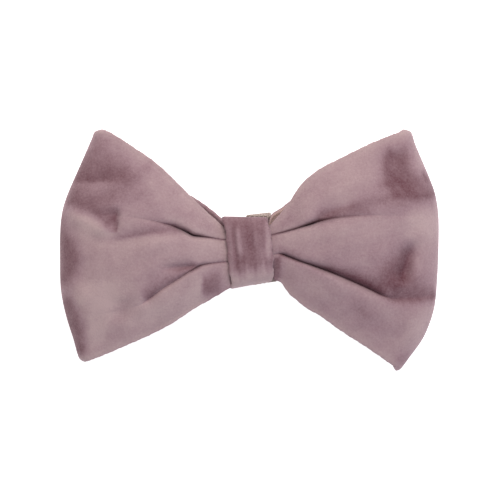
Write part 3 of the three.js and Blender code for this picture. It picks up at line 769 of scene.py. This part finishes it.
def band_ring(wing, progress, angle, wall, section):
    """The points round the band's wall at one place, their pile tone with painted shade, and how far lining
    shows.
    """
    place, inset, past = section
    reach, fold = wing.outer_edge(place, past, wall / 2)
    turn = math.radians(angle)
    out = progress * (reach - fold) + fold * math.sin(turn)
    share = out / reach
    on_back = angle > 90.0
    hems = ("back_bottom", "back_top") if on_back else ("bottom", "top")
    drift = uneven(DRIFTS, HEM_DRIFT["rate"] * out, HEM_DRIFT["side_shift"] * wing.side)
    drift = HEM_DRIFT["reach"] * drift * math.cos(turn) ** 2
    bottom = wing.outline(hems[0], share) + wall / 2 + drift
    top = wing.outline(hems[1], share) - wall / 2 - drift[::-1]
    y = across_lobes([bottom, wing.outline("low", share), wing.outline("high", share), top], place)
    height = wing.back_height(share, out, y) if on_back else wing.front_height(share, out, y)
    x = wing.side * (out - inset * wall * math.sin(turn))
    z = FOLD_MIDDLE + (height - FOLD_MIDDLE) * abs(math.cos(turn)) - inset * wall * math.cos(turn)
    if on_back:
        stretch = BACK_NAP["stretch"]
        pile_tone = uneven(RIPPLES, stretch * wing.side * out + BACK_NAP["shift"], stretch * y)
        nap = BACK_NAP["base"] + BACK_NAP["drift"] * pile_tone
    else:
        nap = wing.front_nap_and_painted_light(share, out, y)
    hem = np.minimum(y - bottom, top - y)
    turned = HEM_TURN["width"] * (smoothstep(*HEM_TURN_SLIPPED, share) if wing.side > 0 else 1.0)
    past_turn = smoothstep(turned - HEM_TURN["edge"], turned, hem)
    inside = inset > INNER_FACE
    # Inside the wall the pile takes a darker tone, as painted shade.
    nap = np.where(inside, HEM_TURN["nap"], np.clip(nap, 0.0, 1.0))
    return np.column_stack([x, y + past * wall / 2, z]), nap, inside * past_turn


def wrap_points(wall):
    """The knot wrap's grid of points and pile tones with painted highlights and shade, in the knot's own
    frame.
    """
    section = wall_section(WRAP_STEPS["face"], WRAP_STEPS["hem"], WRAP_STEPS["inner"], 1)
    sides = Columns(WRAP_SIDE_COLUMNS, WRAP_SIDES)
    angles = np.linspace(0.0, 360.0, WRAP_STEPS["round"])
    rings = [wrap_ring(angle, wall, section, sides) for angle in angles]
    points, nap = (np.stack(part) for part in zip(*rings))
    lining = np.broadcast_to(section[1] > INNER_FACE, nap.shape).astype(float)
    return points, {"nap": nap, "lining": lining}


def wrap_ring(angle, wall, section, sides):
    """The points round the wrap's wall at one angle, and their pile tone with painted highlights and shade.
    """
    place, inset, past = section
    hem, power, back = wall / 2, WRAP_SQUARENESS, WRAP_BACK_HALF_WIDTH
    up, forward = math.cos(math.radians(angle)), math.sin(math.radians(angle))
    radius = (abs(up) ** power + abs(forward) ** power) ** (-1 / power)
    on_front = max(0.0, forward)
    seen = smoothstep(-WRAP_SIDE_BLEND, WRAP_SIDE_BLEND, forward)
    height = radius * up
    wave = sum(size * math.sin(rate * WRAP_HALF_HEIGHT * height) for size, rate in WRAP_EDGE_WAVES)
    left = -back + (sides("left", height) + back) * seen + wave + hem
    right = back + (sides("right", height) - back) * seen + wave - hem
    x = left + (right - left) * place + past * hem
    y = (WRAP_HALF_HEIGHT * (1 - WRAP_TAPER * x) - inset * wall) * height
    rise, light = tuck_shapes(x, y, height)
    rise = rise - WRAP_CROWN * np.abs(2 * place - 1) ** WRAP_CROWN_POWER
    flap = WRAP_FLAP["height"] * smoothstep(*WRAP_FLAP["rises"], angle)
    flap = flap * (1 - smoothstep(*WRAP_FLAP["falls"], angle))
    z = (WRAP_HALF_DEPTH - inset * wall) * radius * forward + (1 - inset) * (rise * on_front - flap)
    streak = wrap_streak(x, height)
    level = y - WRAP_LOW_LIGHT["slant"] * x + WRAP_LOW_LIGHT["ragged"] * streak
    low = WRAP_LOW_LIGHT["light"] * smoothstep(WRAP_LOW_LIGHT["from"], WRAP_LOW_LIGHT["to"], level)
    # The tucks' painted highlights and shade, and the lighter foot, set the knot's pile tone.
    nap = WRAP_NAP["base"] + WRAP_NAP["streak"] * streak - light * on_front - low
    return np.column_stack([x, y, z]), np.clip(nap, WRAP_NAP["least"], 1.0)


def tuck_shapes(x, y, height):
    """How far the knot's tucks raise the cloth, and the highlight they paint on its pile, shade where
    negative.
    """
    rise, light = np.zeros(x.shape), np.zeros(x.shape)
    for row in WRAP_TUCKS:
        tuck = dict(zip(TUCK_COLUMNS, row))
        sway = math.sin(TUCK_SWAY["rate"] * WRAP_HALF_HEIGHT * height + tuck["at"])
        at = tuck["at"] + TUCK_SWAY["reach"] * sway
        over = smoothstep(-TUCK_FADE, TUCK_FADE, y - tuck["low"])
        under = smoothstep(-TUCK_FADE, TUCK_FADE, tuck["high"] - y)
        shape = over * under * np.exp(-(((x - at) / tuck["width"]) ** 2))
        rise += tuck["height"] * shape
        light += tuck["light"] * shape
    return rise, light


def wrap_streak(x, height):
    """The streaks of the knot's pile at each point, from -1 to 1."""
    streaks = WRAP_STREAKS
    sway = streaks["sway"] * math.sin(streaks["sway_rate"] * height)
    broad = streaks["broad"] * np.sin(streaks["broad_rate"] * x + sway)
    return broad + streaks["fine"] * np.sin(streaks["fine_rate"] * x + streaks["fine_start"])


def into_knot_frame(points, centre):
    """Points of the knot's own frame, turned and moved to its place on the bow."""
    turn = math.radians(WRAP_TILT)
    x = points[..., 0] * math.cos(turn) - points[..., 1] * math.sin(turn)
    y = points[..., 0] * math.sin(turn) + points[..., 1] * math.cos(turn)
    return np.stack([x + centre[0], y + centre[1], points[..., 2] + centre[2]], axis=-1)


def loop_line(wall):
    """The elastic's middle line seen from the side, as points (height up the bow, height off the floor)."""
    sewn_line = WRAP_HALF_HEIGHT + LOOP["gap"] + wall / 2
    top, bottom = sewn_line - LOOP_TUCK["top"], LOOP_TUCK["bottom"] - sewn_line
    top_end, bottom_end = sewn_line - LOOP_TUCK["top_end"], LOOP_TUCK["bottom_end"] - sewn_line
    bend, level = LOOP["bend"], LOOP["run"] + wall / 2 + LOOP["bend"]
    leg = np.linspace(0.0, 1.0, LOOP_STEPS["leg"])[:, None]
    first, last = np.array([top_end, LOOP["leg_end"]]), np.array([bottom_end, LOOP["leg_end"]])
    line = list(first + (np.array([top, level]) - first) * leg[:-1])
    for turn in np.radians(np.linspace(0.0, 90.0, LOOP_STEPS["bend"])):
        line.append((top - bend + bend * math.cos(turn), level - bend * math.sin(turn)))
    for y in np.linspace(top - bend, bottom + bend, LOOP_STEPS["run"])[1:-1]:
        line.append((y, LOOP["run"] + wall / 2))
    for turn in np.radians(np.linspace(90.0, 180.0, LOOP_STEPS["bend"])):
        line.append((bottom + bend + bend * math.cos(turn), level - bend * math.sin(turn)))
    line += list(np.array([bottom, level]) + (last - np.array([bottom, level])) * leg[1:])
    return np.array(line)


def loop_points(width, wall):
    """The elastic loop's grid of points, in the knot's own frame but standing on the floor."""
    line = loop_line(wall)
    along = np.gradient(line, axis=0)
    along /= np.linalg.norm(along, axis=1)[:, None]
    across = np.column_stack([-along[:, 1], along[:, 0]])
    place, inset, past = wall_section(LOOP_STEPS["face"], LOOP_STEPS["hem"], LOOP_STEPS["face"], 1)
    x = -(width - wall) / 2 + (width - wall) * place + past * wall / 2
    offset = (0.5 - inset) * wall
    level = LOOP["run"] + wall / 2 + LOOP["bend"]
    rings = []
    for (y, z), (side_y, side_z) in zip(line, across):
        up_leg = max(0.0, (z - level) / (LOOP["leg_end"] - level))
        slant = LOOP["slant"] * (1 - up_leg) - math.copysign(LOOP["end_slant"], y) * up_leg
        rings.append(np.column_stack([LOOP["x"] + x, y + slant * x + offset * side_y, z + offset * side_z]))
    return np.stack(rings)


def stitch_bars(wall):
    """The stitches' straight bars, as pairs of ends in the knot's own frame but standing on the floor."""
    line = loop_line(wall)
    bars = []
    for end, leg, side in ((line[0], line[1], 1), (line[-1], line[-2], -1)):
        along = (end - leg) / np.linalg.norm(end - leg)
        outward = side * np.array([along[1], -along[0]]) * wall / 2
        for x in LOOP["x"] + STITCHES["spread"] * np.linspace(-0.5, 0.5, STITCHES["count"]):
            closing = np.array([side * LOOP["end_slant"] * (LOOP["x"] - x), 0.0])
            corner = end + outward + closing
            back = corner - STITCHES["back"] * along
            level = end[1] + STITCHES["over"]
            depth = (level - WRAP_CENTRE[2]) / WRAP_HALF_DEPTH
            reach = (1 - abs(depth) ** WRAP_SQUARENESS) ** (1 / WRAP_SQUARENESS)
            over = (side * WRAP_HALF_HEIGHT * (1 - WRAP_TAPER * x) * reach, level)
            bars += [((x, *back), (x, *corner)), ((x, *corner), (x, *over))]
    return np.array(bars)


def thread_bars(name, bars, half_thickness):
    """A mesh object of rounded bars between pairs of ends, all in millimetres."""
    bm = bmesh.new()
    half = half_thickness * MM
    for start, end in bars * MM:
        along = Vector(end - start)
        turn = along.to_track_quat("Z", "Y").to_matrix().to_4x4()
        size = Matrix.Diagonal((half, half, along.length / 2 + half, 1.0))
        place = Matrix.Translation(Vector(start + end) / 2) @ turn @ size
        bmesh.ops.create_uvsphere(bm, **THREAD_SEGMENTS, radius=1.0, matrix=place)
    return smooth_object(name, bm)


# Materials

FIBRE_GRAIN = "fibre_grain"
VELVET = "dusty_mauve_velvet"
ELASTIC = "beige_elastic"
THREAD = "beige_thread"


def new_group(name, inputs, outputs):
    """A shader node group with float inputs, as (name, default), and float outputs."""
    group = bpy.data.node_groups.new(name, "ShaderNodeTree")
    for label, default in inputs:
        socket = group.interface.new_socket(label, in_out="INPUT", socket_type="NodeSocketFloat")
        socket.default_value = default
    for label in outputs:
        group.interface.new_socket(label, in_out="OUTPUT", socket_type="NodeSocketFloat")
    return group, group.nodes.new("NodeGroupInput"), group.nodes.new("NodeGroupOutput")


def math_node(tree, operation, first, second):
    node = tree.nodes.new("ShaderNodeMath")
    node.operation = operation
    for socket, value in zip(node.inputs, (first, second)):
        if isinstance(value, (int, float)):
            socket.default_value = value
        else:
            tree.links.new(value, socket)
    return node.outputs[0]


def fibre_grain_group():
    """Fine uneven fibres: a shade about 0.5 and a height, from noise at two sizes."""
    scales = [("Fine Scale", 1800.0), ("Broad Scale", 160.0)]
    group, given, put = new_group(FIBRE_GRAIN, scales, ["Shade", "Height"])
    place = group.nodes.new("ShaderNodeTexCoord").outputs["Object"]
    noises = []
    for label, detail, roughness in (("Fine Scale", 3.0, 0.65), ("Broad Scale", 4.0, 0.6)):
        noise = group.nodes.new("ShaderNodeTexNoise")
        noise.inputs["Detail"].default_value = detail
        noise.inputs["Roughness"].default_value = roughness
        group.links.new(place, noise.inputs["Vector"])
        group.links.new(given.outputs[label], noise.inputs["Scale"])
        noises.append(noise.outputs["Fac"])
    fine, broad = noises
    mean = math_node(group, "MULTIPLY", math_node(group, "ADD", fine, broad), 0.5)
    group.links.new(mean, put.inputs["Shade"])
    group.links.new(fine, put.inputs["Height"])
    return group


def mix_colours(tree, factor, first, second, blend="MIX"):
    node = tree.nodes.new("ShaderNodeMix")
    node.data_type = "RGBA"
    node.blend_type = blend
    sockets = {"Factor": node.inputs[0], "A": node.inputs[6], "B": node.inputs[7]}
    for label, value in (("Factor", factor), ("A", first), ("B", second)):
        if isinstance(value, bpy.types.NodeSocket):
            tree.links.new(value, sockets[label])
        elif label == "Factor":
            sockets[label].default_value = value
        else:
            sockets[label].default_value = (*value, 1.0)
    return node.outputs[2]


def new_material(name):
    material = bpy.data.materials.new(name)
    material.use_nodes = True
    tree = material.node_tree
    return material, tree, tree.nodes["Principled BSDF"]


def add_group(tree, group, **values):
    node = tree.nodes.new("ShaderNodeGroup")
    node.node_tree = group
    for label, value in values.items():
        node.inputs[label.replace("_", " ")].default_value = value
    return node


def add_bump(tree, shader, height, distance, strength):
    bump = tree.nodes.new("ShaderNodeBump")
    bump.inputs["Distance"].default_value = distance
    bump.inputs["Strength"].default_value = strength
    tree.links.new(height, bump.inputs["Height"])
    tree.links.new(bump.outputs["Normal"], shader.inputs["Normal"])


def velvet_material(settings, grain):
    """Brushed velvet, dark or light by a mesh attribute of brushed pile with painted shade and highlights."""
    material, tree, shader = new_material(VELVET)
    nap = tree.nodes.new("ShaderNodeAttribute")
    nap.attribute_name = "nap"
    fibres = add_group(tree, grain, Fine_Scale=1500.0, Broad_Scale=150.0)
    drift = math_node(tree, "SUBTRACT", fibres.outputs["Shade"], 0.5)
    # The pile tone, with its painted shade and painted highlights, picks the colour on the ramp.
    pile_tone = math_node(tree, "ADD", nap.outputs["Fac"], drift)
    ramp = tree.nodes.new("ShaderNodeValToRGB")
    ramp.color_ramp.elements.new(MIDDLE_NAP)
    colours = (settings.light_pile, settings.middle_pile, settings.dark_pile_and_shade)
    for element, colour in zip(ramp.color_ramp.elements, colours):
        element.color = (*colour, 1.0)
    tree.links.new(pile_tone, ramp.inputs["Fac"])
    pile = ramp.outputs["Color"]
    lining = tree.nodes.new("ShaderNodeAttribute")
    lining.attribute_name = "lining"
    cloth = mix_colours(tree, lining.outputs["Fac"], pile, tuple(settings.lining))
    tree.links.new(cloth, shader.inputs["Base Color"])
    rough = math_node(tree, "ADD", 0.82, math_node(tree, "MULTIPLY", fibres.outputs["Shade"], 0.2))
    tree.links.new(rough, shader.inputs["Roughness"])
    shader.inputs["Specular IOR Level"].default_value = 0.15
    shader.inputs["Sheen Weight"].default_value = 0.25
    shader.inputs["Sheen Roughness"].default_value = 0.45
    shader.inputs["Sheen Tint"].default_value = (0.85, 0.7, 0.74, 1.0)
    add_bump(tree, shader, fibres.outputs["Height"], 0.0004, 0.5)
    return material


def elastic_material(settings, grain):
    """Ribbed woven elastic; the ribs run along it on its own map."""
    material, tree, shader = new_material(ELASTIC)
    cloth = tree.nodes.new("ShaderNodeUVMap")
    cloth.uv_map = "cloth"
    split = tree.nodes.new("ShaderNodeSeparateXYZ")
    tree.links.new(cloth.outputs["UV"], split.inputs[0])
    ribs = math_node(tree, "MULTIPLY", split.outputs["Y"], 2 * math.pi * 2 * settings.rib_count)
    picks = math_node(tree, "MULTIPLY", split.outputs["X"], 2 * math.pi * ELASTIC_WEAVE["picks"])
    rib = math_node(tree, "SINE", ribs, 0.0)
    pick = math_node(tree, "MULTIPLY", math_node(tree, "SINE", picks, 0.0), rib)
    raised_rib = math_node(tree, "MULTIPLY", rib, ELASTIC_WEAVE["rib"])
    raised_pick = math_node(tree, "MULTIPLY", pick, ELASTIC_WEAVE["pick"])
    height = math_node(tree, "ADD", math_node(tree, "ADD", raised_rib, raised_pick), 0.5)
    fibres = add_group(tree, grain, Fine_Scale=2200.0, Broad_Scale=300.0)
    colour = tuple(settings.colour)
    # Painted shade in the weave's hollows, between the raised ribs and picks.
    shadow = tuple(ELASTIC_WEAVE["shadow"] * c for c in colour)
    threads = mix_colours(tree, height, shadow, colour)
    wear = math_node(tree, "MULTIPLY", fibres.outputs["Shade"], ELASTIC_WEAVE["wear"])
    worn = mix_colours(tree, wear, threads, ELASTIC_WORN)
    tree.links.new(worn, shader.inputs["Base Color"])
    shader.inputs["Roughness"].default_value = 0.8
    shader.inputs["Specular IOR Level"].default_value = 0.25
    add_bump(tree, shader, height, 0.0003, 0.8)
    return material


def thread_material(settings, grain):
    """Plain sewing thread of the elastic's colour."""
    material, tree, shader = new_material(THREAD)
    fibres = add_group(tree, grain, Fine_Scale=2600.0, Broad_Scale=500.0)
    colour = tuple(settings.colour)
    shadow = tuple(THREAD_SHADOW * c for c in colour)
    tree.links.new(mix_colours(tree, fibres.outputs["Shade"], shadow, colour), shader.inputs["Base Color"])
    shader.inputs["Roughness"].default_value = 0.7
    shader.inputs["Specular IOR Level"].default_value = 0.3
    return material


def floor_material(settings):
    material, _, shader = new_material("pale_floor")
    shader.inputs["Base Color"].default_value = (*settings.floor_colour, 1.0)
    shader.inputs["Emission Color"].default_value = (1.0, 1.0, 1.0, 1.0)
    shader.inputs["Emission Strength"].default_value = settings.floor_glow
    shader.inputs["Roughness"].default_value = 0.9
    shader.inputs["Specular IOR Level"].default_value = 0.0
    return material


def shared_material(name, maker, settings):
    """A material made once, with the fibre grain that all of them use, and then found by its name."""
    grain = bpy.data.node_groups.get(FIBRE_GRAIN) or fibre_grain_group()
    return bpy.data.materials.get(name) or maker(settings, grain)


# Operators


class BOWTIE_OT_velvet_band(Operator):
    """Make the gathered velvet band that forms both wings"""

    bl_idname = "bowtie.velvet_band"
    bl_label = "Velvet Band"

    def execute(self, context):
        wall = context.scene.bow_velvet.band_wall / MM
        points, shades = band_points(wall)
        band = cloth_from_grid("velvet_band", points, shades, closed_along=True)
        material = shared_material(VELVET, velvet_material, context.scene.bow_velvet)
        finish_piece(band, material, ["bow_band"])
        return {"FINISHED"}


class BOWTIE_OT_velvet_wrap(Operator):
    """Make the velvet wrap round the knot"""

    bl_idname = "bowtie.velvet_wrap"
    bl_label = "Velvet Wrap"

    def execute(self, context):
        wall = context.scene.bow_velvet.wrap_wall / MM
        points, shades = wrap_points(wall)
        wrap = cloth_from_grid("velvet_wrap", into_knot_frame(points, WRAP_CENTRE), shades, closed_along=True)
        material = shared_material(VELVET, velvet_material, context.scene.bow_velvet)
        finish_piece(wrap, material, ["knot_wrap"])
        return {"FINISHED"}


class BOWTIE_OT_elastic_loop(Operator):
    """Make the elastic collar loop behind the knot"""

    bl_idname = "bowtie.elastic_loop"
    bl_label = "Elastic Loop"

    def execute(self, context):
        settings = context.scene.bow_elastic
        points = loop_points(settings.width / MM, settings.wall / MM)
        centre = (WRAP_CENTRE[0], WRAP_CENTRE[1], 0.0)
        loop = cloth_from_grid("elastic_loop", into_knot_frame(points, centre), {}, closed_along=False)
        finish_piece(loop, shared_material(ELASTIC, elastic_material, settings), ["collar_loop"])
        return {"FINISHED"}


class BOWTIE_OT_loop_stitches(Operator):
    """Make the hand stitches that hold the elastic loop's ends to the wrap"""

    bl_idname = "bowtie.loop_stitches"
    bl_label = "Loop Stitches"

    def execute(self, context):
        settings = context.scene.bow_elastic
        bars = stitch_bars(settings.wall / MM)
        centre = (WRAP_CENTRE[0], WRAP_CENTRE[1], 0.0)
        stitches = thread_bars("loop_stitches", into_knot_frame(bars, centre), STITCHES["thread"])
        finish_piece(stitches, shared_material(THREAD, thread_material, settings))
        return {"FINISHED"}


class BOWTIE_OT_stage(Operator):
    """Make the floor, the lights and the camera"""

    bl_idname = "bowtie.stage"
    bl_label = "Stage"

    def execute(self, context):
        settings = context.scene.bow_stage
        scene = context.scene
        self.make_floor(scene, settings)
        for name in LIGHT_PLACES:
            self.make_light(scene, settings, name)
        self.make_world(scene, settings)
        self.make_camera(scene, settings)
        scene.view_settings.view_transform = "Standard"
        return {"FINISHED"}

    def make_floor(self, scene, settings):
        bm = bmesh.new()
        bmesh.ops.create_grid(bm, x_segments=1, y_segments=1, size=FLOOR_HALF_WIDTH)
        mesh = bpy.data.meshes.new("floor")
        bm.to_mesh(mesh)
        bm.free()
        mesh.materials.append(floor_material(settings))
        floor = bpy.data.objects.new("floor", mesh)
        scene.collection.objects.link(floor)

    def make_light(self, scene, settings, name):
        place = LIGHT_PLACES[name]
        lamp = bpy.data.lights.new(name + "_light", "AREA")
        lamp.shape = "DISK"
        lamp.size = LIGHT_WIDTHS[name]
        lamp.energy = getattr(settings, name + "_power")
        lamp.color = getattr(settings, name + "_colour")
        light = bpy.data.objects.new(name + "_light", lamp)
        light.location = place
        light.rotation_euler = (-Vector(place)).to_track_quat("-Z", "Y").to_euler()
        scene.collection.objects.link(light)

    def make_world(self, scene, settings):
        world = bpy.data.worlds.new("white_surroundings")
        world.use_nodes = True
        background = world.node_tree.nodes["Background"]
        background.inputs["Color"].default_value = (1.0, 1.0, 1.0, 1.0)
        background.inputs["Strength"].default_value = settings.sky
        scene.world = world

    def make_camera(self, scene, settings):
        data = bpy.data.cameras.new("camera")
        data.lens = settings.lens
        camera = bpy.data.objects.new("camera", data)
        distance = FRAME_WIDTH * settings.lens / data.sensor_width
        camera.location = Vector((*FRAME_MIDDLE, FRAME_HEIGHT_ON_BOW + distance)) * MM
        scene.collection.objects.link(camera)
        scene.camera = camera


class BOWTIE_PT_panel(Panel):
    """The bow tie's settings and pieces"""

    bl_idname = "BOWTIE_PT_panel"
    bl_label = "Velvet Bow Tie"
    bl_space_type = "VIEW_3D"
    bl_region_type = "UI"
    bl_category = "Bow Tie"

    def draw(self, context):
        for settings in (context.scene.bow_velvet, context.scene.bow_elastic, context.scene.bow_stage):
            box = self.layout.box()
            for name in settings.bl_rna.properties.keys():
                if name not in {"rna_type", "name"}:
                    box.prop(settings, name)
        for operator in OPERATORS:
            self.layout.operator(operator.bl_idname)


SETTINGS = {"bow_velvet": VelvetSettings, "bow_elastic": ElasticSettings, "bow_stage": StageSettings}
OPERATORS = (
    BOWTIE_OT_velvet_band,
    BOWTIE_OT_velvet_wrap,
    BOWTIE_OT_elastic_loop,
    BOWTIE_OT_loop_stitches,
    BOWTIE_OT_stage,
)
CLASSES = (*SETTINGS.values(), *OPERATORS, BOWTIE_PT_panel)


def register():
    for cls in CLASSES:
        bpy.utils.register_class(cls)
    for name, cls in SETTINGS.items():
        setattr(bpy.types.Scene, name, PointerProperty(type=cls))


def unregister():
    for name in SETTINGS:
        delattr(bpy.types.Scene, name)
    for cls in reversed(CLASSES):
        bpy.utils.unregister_class(cls)


def main():
    register()
    bpy.ops.bowtie.velvet_band()
    bpy.ops.bowtie.velvet_wrap()
    bpy.ops.bowtie.elastic_loop()
    bpy.ops.bowtie.loop_stitches()
    bpy.ops.bowtie.stage()


if __name__ == "__main__":
    main()
